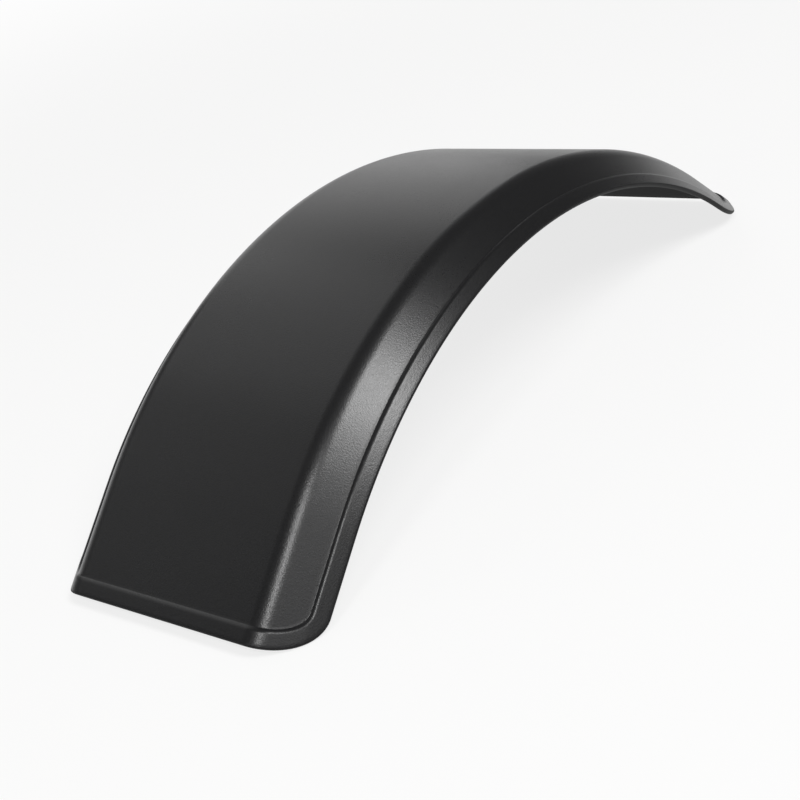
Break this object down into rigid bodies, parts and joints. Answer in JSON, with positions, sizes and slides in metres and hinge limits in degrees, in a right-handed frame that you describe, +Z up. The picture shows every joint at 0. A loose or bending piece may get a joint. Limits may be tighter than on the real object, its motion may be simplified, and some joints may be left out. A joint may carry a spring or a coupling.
{
  "type": "tractor front fender",
  "caption": "Arched black plastic front wheel fender with a flat tread, sloping side walls, rounded corners and a raised band around its edge.",
  "frame": {"origin": "on the ground below the middle of the fender, which stands on its four corners", "axes": "+X along the arch towards the end with the longer straight run, +Y across the fender, +Z up through the crown"},
  "size_m": [0.9784, 0.3544, 0.2336],
  "materials": {
    "black_polyethylene": "fine moulded grain, satin"
  },
  "bodies": {
    "root": {"fender_shell": "black_polyethylene"}
  },
  "joints": []
}
